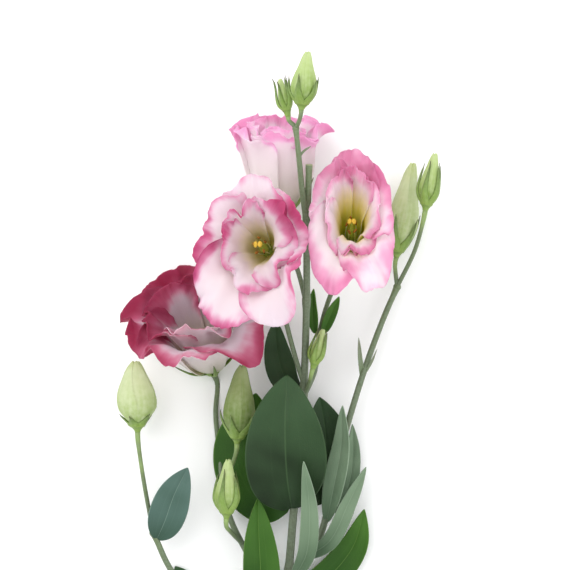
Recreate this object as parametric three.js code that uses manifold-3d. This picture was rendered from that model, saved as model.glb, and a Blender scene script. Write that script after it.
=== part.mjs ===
// Lisianthus flower: one cut, branching stem with four open double blooms, eight buds and its
// leaves, lying on a flat surface. Millimetres, +Z up, +Y from the cut end towards the blooms.

import * as THREE from 'three';
import { mergeVertices } from 'three/addons/utils/BufferGeometryUtils.js';
import Module from 'manifold-3d';

const wasm = await Module();
wasm.setup();

// ---- driving dimensions ----

const GAP = 0.3; // clear space between neighbouring pieces
const PETAL_THICKNESS = 0.7;
const LEAF_THICKNESS = 0.8;
const STEM_BASE_RADIUS = 2.5;
const STEM_TOP_RADIUS = 1.8;
const BRANCH_RADIUS = 1.7;
const PEDICEL_RADIUS = 1.3;
const BUD_STALK_RADIUS = 1.1;
const BUD_CUP = 2.6; // from the foot of a bud down to its stalk
const NODE_SWELLING = 1.35; // a node is this much thicker than the stem below it
const CUT_END_Y = -262;
const CALYX_DEPTH = 4.5; // from the foot of the petals down to the pedicel
const SEPAL_LENGTH = 19;
const SEPAL_WIDTH = 2.4;
const SEPAL_DEPTH = 1.1;
const BUD_SEPAL_DEPTH = 1.0;
const BUD_SEPAL_LIFT = 1.6; // from the side of a bud out to the middle of a sepal
const BUD_POINT_RADIUS = 0.35;
const LEAF_CLEARANCE = GAP + 0.1; // a leaf is cut back this far from the stem
const ORIGIN = new THREE.Vector3(31.84, -72.6, 0); // middle of the part's footprint, in the layout below

// Layout of the piece: x and y lie in the surface it rests on, z is the height above it.

const STEM = [[31, CUT_END_Y, 2.3], [33, -225, 3.2], [35, -185, 6], [37, -148, 10], [40, -110, 15],
  [44.5, -55, 22], [46, -8, 31], [46, 31, 42]];
const STUB = [[46, 31, 42], [46.8, 47, 47], [47.2, 61, 51]];

const BRANCHES = [
  { path: [[46, 31, 42], [43.5, 50, 51], [42, 65, 57], [40.5, 79, 60]], radius: 1.5 },
  { path: [[37, -150, 10], [52, -132, 11], [62, -91, 13], [75, -47, 12], [86, -17, 9.5], [93, -1, 8.5]],
    radius: BRANCH_RADIUS },
  { path: [[36, -178, 7], [22, -150, 9], [8, -124, 11], [3, -108, 11]], radius: BRANCH_RADIUS },
  { path: [[35, -195, 5], [8, -176, 7], [-22, -150, 10], [-33, -128, 13]], radius: BRANCH_RADIUS },
];

// Petals stand in two whorls round the axis of a bloom. A bloom leans towards its droop direction:
// there the petals are longer, open wider and start to open lower down. Folds are waves of the opening
// angle round the bloom, as [how many, degrees, start].
const BLOOMS = {
  center: {
    origin: [27, 17, 44], axis: [-0.26, 0.16, 0.95], squeeze: [0.80, 1.01], phase: 0.6,
    droop: { toward: 264, length: 0.38, flare: 12, start: 0.12 },
    folds: [[2, 8, 0.5], [5, 15, 1.0], [7, 12, 2.2]],
    stalk: [[45, -52, 23], [40, -36, 26], [34, -12, 30]],
    outer: { turn: 18, length: 46, width: 27, wall: 22, bowl: 0.12, flare: 82, opens: 0.44, wave: 2.0 },
    inner: { turn: 50, length: 39, width: 27, wall: 18, bowl: 0.08, flare: 62, opens: 0.62, wave: 1.8,
      lean: 2.6, toward: 330, stretch: 0.2 },
  },
  right: {
    origin: [68.5, 19.5, 28], axis: [0.02, 0.58, 0.81], squeeze: [0.62, 1.14], phase: 1.9,
    droop: { toward: 265, length: 0.36, flare: 24, start: 0.26 },
    folds: [[2, 6, 2.0], [5, 12, 0.2], [8, 6, 5.0]],
    stalk: [[44.5, -58, 21.5], [50.5, -44, 19], [52.5, -26, 17], [59, -4, 15]],
    outer: { turn: 88, length: 46, width: 30, wall: 23, bowl: 0.12, flare: 82, opens: 0.56, wave: 2.0 },
    inner: { turn: 78, length: 40, width: 28, wall: 21, bowl: 0.08, flare: 52, opens: 0.68, wave: 1.4,
      lean: 1.1, stretch: 0.04 },
  },
  top: {
    origin: [33, 39, 13.8], axis: [-0.02, 0.96, 0.26], squeeze: [1.0, 1.0], phase: 5.0,
    droop: { toward: 20, length: 0.0, flare: 12, start: 0.0 },
    folds: [[2, 6, 0.0], [5, 14, 0.7], [9, 12, 1.9]],
    stalk: [[46, -10, 30], [42, 6, 22], [36, 22, 16]],
    outer: { turn: 60, length: 50, width: 26, wall: 5, bowl: 0.22, flare: 42, opens: 0.62, wave: 2.0 },
    inner: { turn: 100, length: 47, width: 22, wall: 2, bowl: 0.17, flare: 22, opens: 0.60, wave: 1.8,
      count: 4 },
  },
  left: {
    origin: [-3, -43, 6], axis: [-0.26, 0.74, 0.62], squeeze: [1.06, 1.0], phase: 4.1,
    droop: { toward: 320, length: 0.16, flare: 30, start: 0.18 },
    folds: [[2, 8, 1.0], [5, 16, 0.2], [8, 14, 2.6]],
    stalk: [[3, -108, 11], [1, -88, 4.5], [-1, -66, 2]],
    outer: { turn: 35, length: 54, width: 28, wall: 16, bowl: 0.13, flare: 76, opens: 0.48, wave: 2.2 },
    inner: { turn: 71, length: 48, width: 23, wall: 13, bowl: 0.09, flare: 48, opens: 0.52, wave: 2.0 },
  },
};

// What the two whorls have in common in every bloom: radius and height of the foot, how far the
// edges of a petal lap over and under its neighbours, how far they curl, and the share of the lean.
// A whorl that leans another way than its bloom has a direction and a stretch of its own.
const WHORLS = {
  outer: { count: 5, foot: 3.6, rise: 1.4, lap: 2.0, cup: 0.8, lean: 1, across: 5, along: 5 },
  inner: { count: 5, foot: 2.45, rise: 3.6, lap: 1.7, cup: 0.5, lean: 0.5, across: 4, along: 4 },
};
const FIVEFOLD = 5; // sepals and stamens of every bloom and bud

// A bud runs from its foot to its tip; its petals are furled round each other. The larger its belly
// value, the higher up it is widest.
const BUDS = {
  crown: { foot: [43.5, 91, 65], tip: [46.5, 117, 67], radius: 6.4, belly: 0.62, sepal: 0.55,
    spread: 2.0, stalk: [[40.5, 79, 60]] },
  crown_side: { foot: [36, 88, 57.5], tip: [32.5, 104, 56], radius: 3.0, belly: 0.66, sepal: 1.02,
    spread: 2.4, stalk: [[40.5, 79, 60], [38, 82.5, 59]] },
  right: { foot: [93, 17, 10], tip: [101, 62, 10.5], radius: 7.9, belly: 0.70, sepal: 0.42,
    spread: 1.6, stalk: [[93, -1, 8.5]] },
  right_side: { foot: [107.5, 41, 24], tip: [112, 67, 26], radius: 5.2, belly: 0.62, sepal: 0.85,
    spread: 1.2, stalk: [[93, -1, 8.5], [102, 18, 15]] },
  small: { foot: [50, -40, 30.5], tip: [54.5, -23, 33], radius: 3.5, belly: 0.62, sepal: 0.95,
    spread: 1.0, stalk: [[44.5, -57, 22], [47.5, -50, 26.5]] },
  middle: { foot: [10.5, -79, 22], tip: [13, -42, 24], radius: 8.4, belly: 0.74, sepal: 0.36,
    spread: 0.8, stalk: [[3, -108, 11], [6, -98, 16]] },
  middle_side: { foot: [5, -117, 26], tip: [6, -90, 30], radius: 6.2, belly: 0.60, sepal: 0.80,
    spread: 0.8, stalk: [[12, -134, 10.5], [7, -127, 18]] },
  left: { foot: [-41, -73, 18], tip: [-42, -40, 20], radius: 10.4, belly: 0.80, sepal: 0.2,
    spread: 0.3, stalk: [[-33, -128, 13], [-38, -100, 16]] },
};

// A leaf follows its spine from the stem to the tip; face is the side it turns up.
const LEAVES = {
  front: { spine: [[38.5, -115, 19], [36, -98, 31], [35, -72, 36], [36, -46, 35]], width: 41,
    face: [0.05, -0.1, 1], fold: 0.12, wave: 1.2, tone: 'deep' },
  behind: { spine: [[38, -114, 13], [25, -107, 9], [16, -86, 8], [20, -56, 10]], width: 38,
    face: [-0.2, 0, 1], fold: 0.10, wave: 1.2, tone: 'fresh' },
  behind_right: { spine: [[42, -112, 13], [52, -100, 9], [56, -80, 8], [53, -58, 10]], width: 26,
    face: [0.2, 0, 1], fold: 0.12, wave: 1.0, tone: 'deep' },
  upper: { spine: [[42.5, -57, 19], [35, -48, 14], [31, -34, 11], [30, -18, 12]], width: 15,
    face: [-0.2, 0, 1], fold: 0.2, wave: 0.6, tone: 'deep' },
  pair_left: { spine: [[50.4, -25, 17.5], [49.4, -17, 21.5], [49.1, -10, 24], [49.6, -2, 25]], width: 5.5,
    face: [-0.3, 0, 1], fold: 0.25, wave: 0.3, tone: 'fresh' },
  pair_right: { spine: [[54.8, -25, 17.5], [57.3, -18, 20], [60, -12, 21.5], [63, -6, 22]], width: 6,
    face: [0.3, 0, 1], fold: 0.25, wave: 0.3, tone: 'fresh' },
  low_narrow: { spine: [[39, -152, 12], [46, -138, 24], [47.5, -116, 33], [44.5, -90, 41]], width: 9.5,
    face: [0, 0, 1], fold: 0.3, wave: 0.5, tone: 'glaucous' },
  branch_left: { spine: [[56.5, -122, 13], [60, -104, 19], [64, -82, 22], [64.5, -62, 22]], width: 11,
    face: [-0.3, 0, 1], fold: 0.25, wave: 0.6, tone: 'glaucous' },
  branch_right: { spine: [[58.5, -118, 11], [67, -106, 9], [70, -90, 8], [70, -72, 9]], width: 9,
    face: [0.3, 0, 1], fold: 0.2, wave: 0.5, tone: 'glaucous' },
  arching: { spine: [[45, -141, 12], [58, -132, 17], [68, -112, 17], [77, -94, 12]], width: 9,
    face: [0.2, 0.1, 1], fold: 0.3, wave: 0.6, tone: 'glaucous' },
  curled: { spine: [[37, -160, 10], [56, -152, 6], [70, -136, 6], [76, -116, 12]], width: 17,
    face: [0.1, 0, 1], fold: 0.2, wave: 1.4, tone: 'fresh' },
  low: { spine: [[33, -178, 8], [24, -158, 20], [22, -138, 22], [21, -110, 21]], width: 20,
    face: [0.3, 0, 1], fold: 0.2, wave: 1.0, tone: 'fresh' },
  glaucous: { spine: [[-31, -131, 14], [-27, -122, 19], [-22, -108, 22], [-15, -94, 22]], width: 19,
    face: [0.1, 0, 1], fold: 0.15, wave: 0.8, tone: 'glaucous' },
  floor_left: { spine: [[30, -186, 3.5], [12, -190, 1.5], [-8, -172, 1.2], [-22, -146, 1.4]], width: 30,
    face: [0, 0, 1], fold: 0.05, wave: 0.8, tone: 'deep' },
};

// Narrow papery bracts at the upper forks grow as one piece with the stem.
const BRACTS = [
  { path: [[75, -47, 12], [73.8, -38, 14], [73, -27, 16]], width: 1.9 },
  { path: [[75, -47, 12], [79, -41, 14], [82.5, -33, 17]], width: 1.2 },
  { path: [[42, 65, 57], [45, 68, 59], [48, 70, 62]], width: 1.0 },
  { path: [[46, 31, 42], [44.2, 40, 46], [43.6, 50, 48.5]], width: 1.5 },
];

const FINISH = {
  stem: { color: 0x6f8a5e, roughness: 0.6 },
  petal: { color: 0xf3c9dc, roughness: 0.65 },
  calyx: { color: 0x9bb56a, roughness: 0.6 },
  pistil: { color: 0xa9b53c, roughness: 0.5 },
  stamen: { color: 0xd9a520, roughness: 0.7 },
  bud: { color: 0xcfdfa6, roughness: 0.6 },
  deep: { color: 0x2f5238, roughness: 0.5 },
  fresh: { color: 0x4f7a34, roughness: 0.5 },
  glaucous: { color: 0x6d8f83, roughness: 0.6 },
};

// ---- solids ----

function solidOf(geometry) {
  const bare = geometry.clone();
  bare.deleteAttribute('normal');
  bare.deleteAttribute('uv');
  const merged = mergeVertices(bare, 1e-4);
  const corners = merged.index.array;
  const kept = [];
  for (let i = 0; i < corners.length; i += 3) {
    const [a, b, c] = [corners[i], corners[i + 1], corners[i + 2]];
    if (a !== b && b !== c && c !== a) kept.push(a, b, c);
  }
  const vertProperties = new Float32Array(merged.attributes.position.array);
  const triVerts = new Uint32Array(kept);
  return new wasm.Manifold(new wasm.Mesh({ numProp: 3, vertProperties, triVerts }));
}

function geometryOf(solid) {
  const { vertProperties, triVerts } = solid.getMesh();
  const geometry = new THREE.BufferGeometry();
  geometry.setAttribute('position', new THREE.BufferAttribute(new Float32Array(vertProperties), 3));
  geometry.setIndex(new THREE.BufferAttribute(new Uint32Array(triVerts), 1));
  geometry.computeVertexNormals();
  return geometry;
}

const joined = (solids) => solids.reduce((whole, piece) => whole.add(piece));

// The largest of the bodies in a solid: a scrap that a cut leaves loose is dropped.
function mainBody(solid) {
  return solid.decompose().reduce((best, body) => (body.volume() > best.volume() ? body : best));
}

function moved(geometry, place) {
  const spot = new THREE.Vector3();
  const position = geometry.attributes.position;
  for (let i = 0; i < position.count; i += 1) {
    spot.fromBufferAttribute(position, i);
    const { x, y, z } = place(spot);
    position.setXYZ(i, x, y, z);
  }
  return geometry;
}

// ---- curves and blades ----

const vector = (place) => new THREE.Vector3(...place);
const polar = (radius, psi, z) => new THREE.Vector3(radius * Math.cos(psi), radius * Math.sin(psi), z);
const curveThrough = (path) => new THREE.CatmullRomCurve3(path.map(vector));
const wave = (turns) => Math.sin(2 * Math.PI * turns);
const ease = (x) => THREE.MathUtils.smoothstep(x, 0, 1);

// The reach of a round stalk that narrows evenly from one radius to another.
function taper(from, to) {
  return (t) => {
    const radius = THREE.MathUtils.lerp(from, to, t);
    return [radius, radius];
  };
}

// A tapering stalk along a path. reach(t) gives its half width and half depth at t from 0 to 1.
function stalk(path, reach, sides, spacing = 20) {
  const curve = curveThrough(path);
  const steps = Math.max(2, Math.round(curve.getLength() / spacing));
  const frames = curve.computeFrenetFrames(steps);
  const cylinder = new THREE.CylinderGeometry(1, 1, 1, sides, steps);
  return solidOf(moved(cylinder, ({ x, y, z }) => {
    const row = Math.round((y + 0.5) * steps);
    const [across, deep] = reach(row / steps);
    return curve.getPointAt(row / steps)
      .addScaledVector(frames.normals[row], x * across)
      .addScaledVector(frames.binormals[row], -z * deep);
  }));
}

// A thin blade whose middle is surface(s, v), s from -1 to 1 across it and v from 0 to 1 along it.
// Both faces have the same triangles.
function blade(surface, across, along, thickness) {
  const sheet = new THREE.PlaneGeometry(2, 1, across, along);
  const { position } = sheet.attributes;
  const count = position.count;
  const nudge = 0.01;
  const places = new Float32Array(count * 6);
  for (let i = 0; i < count; i += 1) {
    const s = position.getX(i);
    const v = position.getY(i) + 0.5;
    const middle = surface(s, v);
    const sideways = surface(s + nudge, v).sub(surface(s - nudge, v)).normalize();
    const onward = surface(s, Math.min(1, v + nudge)).sub(surface(s, Math.max(0, v - nudge))).normalize();
    const out = new THREE.Vector3().crossVectors(sideways, onward).normalize();
    middle.clone().addScaledVector(out, thickness / 2).toArray(places, i * 3);
    middle.clone().addScaledVector(out, -thickness / 2).toArray(places, (count + i) * 3);
  }
  const faces = [];
  const front = sheet.index.array;
  for (let i = 0; i < front.length; i += 3) {
    faces.push(front[i], front[i + 1], front[i + 2]);
    faces.push(count + front[i], count + front[i + 2], count + front[i + 1]);
  }
  const at = (column, row) => row * (across + 1) + column;
  const border = [];
  for (let i = 0; i < across; i += 1) border.push(at(i, along));
  for (let i = along; i > 0; i -= 1) border.push(at(across, i));
  for (let i = across; i > 0; i -= 1) border.push(at(i, 0));
  for (let i = 0; i < along; i += 1) border.push(at(0, i));
  border.forEach((here, i) => {
    const next = border[(i + 1) % border.length];
    faces.push(next, here, count + here);
    faces.push(next, count + here, count + next);
  });
  const geometry = new THREE.BufferGeometry();
  geometry.setAttribute('position', new THREE.BufferAttribute(places, 3));
  geometry.setIndex(faces);
  return solidOf(geometry);
}

// A frame whose z runs along axis and whose x stays as close as it can to the part's own x.
function frameAlong(origin, axis) {
  const z = vector(axis).normalize();
  const x = new THREE.Vector3(1, 0, 0).addScaledVector(z, -z.x).normalize();
  const y = new THREE.Vector3().crossVectors(z, x);
  return new THREE.Matrix4().makeBasis(x, y, z).setPosition(vector(origin));
}

// ---- blooms ----

const PROFILE_STEPS = 32;
const ROW_BUNCHING = 1.35; // rows of a petal stand closer together in the bowl of the bloom

// The wall of a whorl where it faces direction psi: radius, height and slope from foot to rim.
function wallProfile({ droop, folds }, whorl, psi) {
  const lean = whorl.lean * Math.cos(psi - THREE.MathUtils.degToRad(whorl.toward ?? droop.toward));
  const leaning = THREE.MathUtils.clamp(lean, 0, 1);
  const length = whorl.length * (1 + (whorl.stretch ?? droop.length) * leaning ** 0.6);
  const folded = folds.reduce((sum, [count, size, start]) => sum + size * Math.sin(count * psi + start), 0);
  const flare = whorl.flare + droop.flare * lean + folded;
  const opens = whorl.opens - droop.start * leaning;
  const rows = [];
  let radius = whorl.foot;
  let height = whorl.rise;
  for (let i = 0; i <= PROFILE_STEPS; i += 1) {
    const v = i / PROFILE_STEPS;
    const base = (70 - whorl.wall) * Math.exp(-v / whorl.bowl);
    const rim = (flare - whorl.wall) * ease((v - opens) / (1 - opens));
    const slope = THREE.MathUtils.degToRad(whorl.wall + base + rim);
    rows.push([radius, height, slope]);
    radius += Math.sin(slope) * length / PROFILE_STEPS;
    height += Math.cos(slope) * length / PROFILE_STEPS;
  }
  return rows;
}

function alongProfile(rows, v) {
  const place = THREE.MathUtils.clamp(v, 0, 1) * PROFILE_STEPS;
  const row = Math.min(PROFILE_STEPS - 1, Math.floor(place));
  return rows[row].map((value, i) => THREE.MathUtils.lerp(value, rows[row + 1][i], place - row));
}

// The bloom is round at its foot and takes its squeezed outline further up.
function squeezed({ squeeze }, point) {
  const share = ease((point.z - 5) / 14);
  point.x *= 1 + (squeeze[0] - 1) * share;
  point.y *= 1 + (squeeze[1] - 1) * share;
  return point;
}

// Petals of a whorl lie in one wavy wall, each tilted so that one edge is outside its neighbour.
function petalSurface(bloom, whorl, k) {
  const theta = THREE.MathUtils.degToRad(whorl.turn + 360 / whorl.count * k);
  const place = frameAlong(bloom.origin, bloom.axis);
  return (s, v) => {
    const reach = v ** ROW_BUNCHING * (1 - 0.09 * s * s - 0.09 * s ** 6);
    const half = 3 + (whorl.width - 3) * Math.sin(Math.min(1, reach / 0.8) * Math.PI / 2) ** 0.9;
    let psi = theta;
    let wall = alongProfile(wallProfile(bloom, whorl, theta), reach);
    for (let pass = 0; pass < 2; pass += 1) {
      psi = theta + s * half / Math.max(wall[0], half / 1.1);
      wall = alongProfile(wallProfile(bloom, whorl, psi), reach);
    }
    const [radius, height, slope] = wall;
    const rim = ease((reach - 0.35) / 0.65);
    const ripple = Math.sin(3 * psi + bloom.phase) + 0.8 * Math.sin(5 * psi + 2.3 * bloom.phase)
      + 0.55 * Math.sin(8 * psi + 4.1 * bloom.phase);
    const offset = whorl.lap * s * (0.5 + 0.5 * ease(reach / 0.2)) + whorl.cup * s * s * rim
      + 0.6 * whorl.wave * rim * rim * ripple;
    const point = polar(radius + offset * Math.cos(slope), psi, height - offset * Math.sin(slope));
    return squeezed(bloom, point).applyMatrix4(place);
  };
}

function lathe(profile, sides, place) {
  const points = profile.map(([radius, height]) => new THREE.Vector2(radius, height));
  const geometry = new THREE.LatheGeometry(points, sides);
  geometry.rotateX(Math.PI / 2);
  return solidOf(geometry.applyMatrix4(place));
}

const whorlOf = (bloom, tier) => ({ ...WHORLS[tier], ...bloom[tier] });

// All petals of a bloom are one body, joined at the foot.
function corolla(bloom) {
  const place = frameAlong(bloom.origin, bloom.axis);
  const foot = [[0, 0.2], [4.2, 0.2], [4.6, 1.6], [3.0, 5.2], [0, 5.2]];
  const pieces = [lathe(foot, 7, place)];
  for (const tier of ['outer', 'inner']) {
    const whorl = whorlOf(bloom, tier);
    for (let k = 0; k < whorl.count; k += 1) {
      pieces.push(blade(petalSurface(bloom, whorl, k), whorl.across, whorl.along, PETAL_THICKNESS));
    }
  }
  return joined(pieces);
}

// A keeled, pointed sepal lies against the outside of the petals.
function sepal(bloom, k) {
  const whorl = whorlOf(bloom, 'outer');
  const theta = THREE.MathUtils.degToRad(whorl.turn + 180 / FIVEFOLD * (2 * k + 1));
  const rows = wallProfile(bloom, whorl, theta);
  const place = frameAlong(bloom.origin, bloom.axis);
  const path = [0, 0.25, 0.5, 0.75, 1].map((t) => {
    const [radius, height, slope] = alongProfile(rows, t * SEPAL_LENGTH / whorl.length);
    const offset = 2.6 + 0.4 * ease(t * 2) + 1.6 * t * t; // stands off further towards its tip
    const point = polar(radius + offset * Math.cos(slope), theta, height - offset * Math.sin(slope));
    return squeezed(bloom, point).applyMatrix4(place).toArray();
  });
  const width = (t) => SEPAL_WIDTH / 2 * (1 - 0.7 * t);
  return stalk(path, (t) => [width(t), SEPAL_DEPTH / 2 * (1 - 0.35 * t)], 3, 7);
}

function calyx(bloom) {
  const place = frameAlong(bloom.origin, bloom.axis);
  const cup = [[0, -CALYX_DEPTH], [PEDICEL_RADIUS + 0.3, -CALYX_DEPTH], [4.9, -1.0], [4.6, -0.15],
    [0, -0.15]];
  const pieces = [lathe(cup, 7, place)];
  for (let k = 0; k < FIVEFOLD; k += 1) pieces.push(sepal(bloom, k));
  return joined(pieces);
}

function pistil(bloom) {
  const place = frameAlong(bloom.origin, bloom.axis);
  const outline = [[0, 5.5], [1.1, 5.5], [2.1, 9], [2.0, 13.5], [0.9, 17.5], [0.9, 20], [2.1, 21.5],
    [2.0, 23], [0, 24]];
  return lathe(outline, 6, place);
}

// Five stamens stand round the ovary on a narrow ring.
function stamens(bloom) {
  const place = frameAlong(bloom.origin, bloom.axis);
  const ring = [[1.95, 5.5], [2.6, 5.5], [2.6, 6.1], [1.95, 6.1], [1.95, 5.5]];
  const pieces = [lathe(ring, FIVEFOLD, place)];
  for (let k = 0; k < FIVEFOLD; k += 1) {
    const psi = 2 * Math.PI * (k + 0.35) / FIVEFOLD;
    const path = [[2.25, 5.8], [3.1, 9], [3.6, 13], [4.1, 20]].map(([radius, height]) => (
      squeezed(bloom, polar(radius, psi, height)).applyMatrix4(place).toArray()));
    pieces.push(stalk(path, (t) => {
      const anther = ease((t - 0.6) / 0.2); // the filament widens into the anther
      return [0.4 + 0.5 * anther, 0.4 + 0.3 * anther];
    }, 3, 5));
  }
  return joined(pieces);
}

// ---- buds ----

const FURL = 0.07; // the edges of the furled petals stand out by this share of the radius

function budFrame(bud) {
  const foot = vector(bud.foot);
  const axis = vector(bud.tip).sub(foot);
  return { place: frameAlong(bud.foot, axis.toArray()), length: axis.length() };
}

// The radius of a closed bud: full round its belly, drawn out to a blunt tip.
function budSide(bud, v) {
  const full = Math.sin(Math.PI * Math.min(1, v ** bud.belly * 0.97 + 0.03)) ** 0.8 * (1 - 0.12 * v);
  return bud.radius * (full + 0.13 * ease((v - 0.7) / 0.3)) + BUD_POINT_RADIUS;
}

function budCorolla(bud) {
  const { place, length } = budFrame(bud);
  const geometry = new THREE.SphereGeometry(1, 10, 6);
  moved(geometry, ({ x, y, z }) => {
    const v = THREE.MathUtils.clamp(1 - Math.acos(THREE.MathUtils.clamp(y, -1, 1)) / Math.PI, 0, 1);
    const around = Math.atan2(z, x);
    const furl = 1 + FURL * Math.sin(5 * around + 5 * v) * ease(v * 2);
    const pole = v < 0.001 || v > 0.999;
    const radius = pole ? 0 : budSide(bud, v) * furl;
    return polar(radius, -around, GAP + v * (length - GAP));
  });
  return solidOf(geometry.applyMatrix4(place));
}

function budCalyx(bud) {
  const { place, length } = budFrame(bud);
  const lip = bud.radius * 0.55;
  const cup = [[0, -BUD_CUP], [BUD_STALK_RADIUS + 0.2, -BUD_CUP], [lip + 0.8, -0.9], [lip, -0.1],
    [0, -0.1]];
  const pieces = [lathe(cup, 6, place)];
  const broad = Math.min(SEPAL_WIDTH, bud.radius * 0.42);
  for (let k = 0; k < FIVEFOLD; k += 1) {
    const psi = 2 * Math.PI * k / FIVEFOLD + 0.5;
    const points = [polar(lip * 0.8, psi, -0.9)];
    for (const t of [0.12, 0.4, 0.7, 1]) {
      const v = t * bud.sepal;
      const side = (1 + FURL) * budSide(bud, Math.min(0.97, v));
      points.push(polar(side + BUD_SEPAL_LIFT + bud.spread * t * t, psi, v * length));
    }
    const path = points.map((point) => point.applyMatrix4(place).toArray());
    const reach = (t) => [broad / 2 * (1 - 0.65 * t), BUD_SEPAL_DEPTH / 2 * (1 - 0.3 * t)];
    pieces.push(stalk(path, reach, 3, length / 3));
  }
  return joined(pieces);
}

// ---- leaves ----

const leafShape = (v) => Math.max(0.02, (v + 0.015) ** 0.6 * (1 - v) ** 0.8 / 0.385);

function leafSurface(leaf) {
  const curve = curveThrough(leaf.spine);
  const up = vector(leaf.face).normalize();
  return (s, v) => {
    const onward = curve.getTangentAt(v);
    const sideways = new THREE.Vector3().crossVectors(onward, up).normalize();
    const out = new THREE.Vector3().crossVectors(sideways, onward);
    const half = leaf.width / 2 * leafShape(v);
    const lift = leaf.fold * Math.abs(s) ** 1.5 * half
      + leaf.wave * s * s * Math.sin(Math.PI * v) * wave(1.3 * v + 0.25 * Math.sign(s));
    return curve.getPointAt(v).addScaledVector(sideways, s * half).addScaledVector(out, lift);
  };
}

function leafBlade(leaf, clearStem) {
  const broad = leaf.width > 14;
  const solid = blade(leafSurface(leaf), broad ? 4 : 2, 5, LEAF_THICKNESS);
  return mainBody(solid.subtract(clearStem));
}

// ---- stem ----

function swelling(place, radius) {
  const ball = new THREE.SphereGeometry(radius, 5, 3);
  return solidOf(ball.translate(...place));
}

// A stalk's path goes on to a flower's foot, meeting it straight along the flower's axis.
function pathTo(path, foot, axis, depth, straight) {
  const end = foot.clone().addScaledVector(axis, -depth - GAP);
  const before = end.clone().addScaledVector(axis, -straight);
  return [...path, before.toArray(), end.toArray()];
}

// Stem, branches and flower stalks as one piece, all of them thicker by the margin.
function stemSolid(margin = 0) {
  const knotRadius = (STEM_BASE_RADIUS + STEM_TOP_RADIUS) / 2 * NODE_SWELLING;
  const pieces = [
    stalk(STEM, taper(STEM_BASE_RADIUS + margin, STEM_TOP_RADIUS + margin), 8, 24),
    stalk(STUB, taper(STEM_TOP_RADIUS + margin, STEM_TOP_RADIUS * 0.9 + margin), 6),
    swelling(STUB[2], STEM_TOP_RADIUS * 0.98 + margin),
    ...STEM.slice(3).map((knot) => swelling(knot, knotRadius + margin)),
  ];
  for (const { path, radius } of BRANCHES) {
    pieces.push(stalk(path, taper(radius * 1.1 + margin, radius * 0.9 + margin), 6));
    pieces.push(swelling(path.at(-1), radius * NODE_SWELLING + margin));
  }
  for (const bloom of Object.values(BLOOMS)) {
    const axis = vector(bloom.axis).normalize();
    const path = pathTo(bloom.stalk, vector(bloom.origin), axis, CALYX_DEPTH, 7);
    pieces.push(stalk(path, (t) => {
      const radius = PEDICEL_RADIUS + 0.5 * ease((t - 0.85) / 0.15) + margin;
      return [radius, radius];
    }, 5));
  }
  for (const bud of Object.values(BUDS)) {
    const axis = vector(bud.tip).sub(vector(bud.foot)).normalize();
    const path = pathTo(bud.stalk, vector(bud.foot), axis, BUD_CUP, 4);
    pieces.push(stalk(path, taper(BUD_STALK_RADIUS * 1.1 + margin, BUD_STALK_RADIUS + margin), 5));
  }
  for (const { path, width } of BRACTS) {
    pieces.push(stalk(path, (t) => [width * (1 - 0.75 * t) + margin, 0.45 + margin], 4, 8));
  }
  return joined(pieces);
}

// ---- assembly ----

// Whatever would reach below the surface the piece lies on is cut off flat at z = 0.
const ground = solidOf(new THREE.BoxGeometry(1000, 1000, 100).translate(0, 0, -50));

const part = new THREE.Group();

function addPiece(name, solid, { color, roughness }) {
  const trimmed = mainBody(solid.subtract(ground));
  const material = new THREE.MeshStandardMaterial({ color, roughness, metalness: 0 });
  const mesh = new THREE.Mesh(geometryOf(trimmed), material);
  mesh.name = name;
  mesh.position.copy(ORIGIN).negate();
  part.add(mesh);
}

const clearStem = stemSolid(LEAF_CLEARANCE);
addPiece('stem', stemSolid(), FINISH.stem);

for (const [name, bloom] of Object.entries(BLOOMS)) {
  addPiece(`corolla_${name}`, corolla(bloom), FINISH.petal);
  addPiece(`calyx_${name}`, calyx(bloom), FINISH.calyx);
  addPiece(`pistil_${name}`, pistil(bloom), FINISH.pistil);
  addPiece(`stamens_${name}`, stamens(bloom), FINISH.stamen);
}

for (const [name, bud] of Object.entries(BUDS)) {
  addPiece(`bud_${name}`, budCorolla(bud), FINISH.bud);
  addPiece(`bud_${name}_calyx`, budCalyx(bud), FINISH.calyx);
}

for (const [name, leaf] of Object.entries(LEAVES)) {
  addPiece(`leaf_${name}`, leafBlade(leaf, clearStem), FINISH[leaf.tone]);
}

export default part;
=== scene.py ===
"""A cut lisianthus stem lying on a pale table, seen from above: ruffled double blooms, buds, leaves.

Lengths in the tables below are millimetres in the layout of the piece: x and y lie in the table top,
z is the height above it. Blender's own metres are used from the finished meshes on.
"""

from math import atan2, copysign, cos, degrees, exp, pi, radians, sin, sqrt

import bmesh
import bpy
from bmesh import ops
from mathutils import Matrix, Vector, noise


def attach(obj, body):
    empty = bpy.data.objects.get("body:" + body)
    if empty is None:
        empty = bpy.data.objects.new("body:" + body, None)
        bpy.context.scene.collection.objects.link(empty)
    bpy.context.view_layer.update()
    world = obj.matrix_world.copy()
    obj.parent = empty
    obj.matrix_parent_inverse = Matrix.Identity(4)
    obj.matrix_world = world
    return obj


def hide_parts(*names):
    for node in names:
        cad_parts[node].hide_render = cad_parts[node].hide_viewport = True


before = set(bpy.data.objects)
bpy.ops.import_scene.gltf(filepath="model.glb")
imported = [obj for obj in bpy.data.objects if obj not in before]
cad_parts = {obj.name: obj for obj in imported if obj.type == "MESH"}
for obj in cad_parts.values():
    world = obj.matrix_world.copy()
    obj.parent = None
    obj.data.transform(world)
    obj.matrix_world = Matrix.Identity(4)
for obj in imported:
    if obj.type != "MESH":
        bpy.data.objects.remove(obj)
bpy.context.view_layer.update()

MM = 0.001
ORIGIN = Vector((31.84, -72.6, 0.0))  # middle of the footprint in the layout
noise.seed_set(1)  # noise_vector, which roughens the anthers, starts from it
TURN = 2 * pi
FIVEFOLD = 5

PETAL_THICKNESS = 0.34
LEAF_THICKNESS = 0.5
SEPAL_THICKNESS = 0.4
TABLE_CLEARANCE = 0.25  # petals and leaves that reach the table flatten against it
SEAM = 0.001  # points closer than this are one

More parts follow.
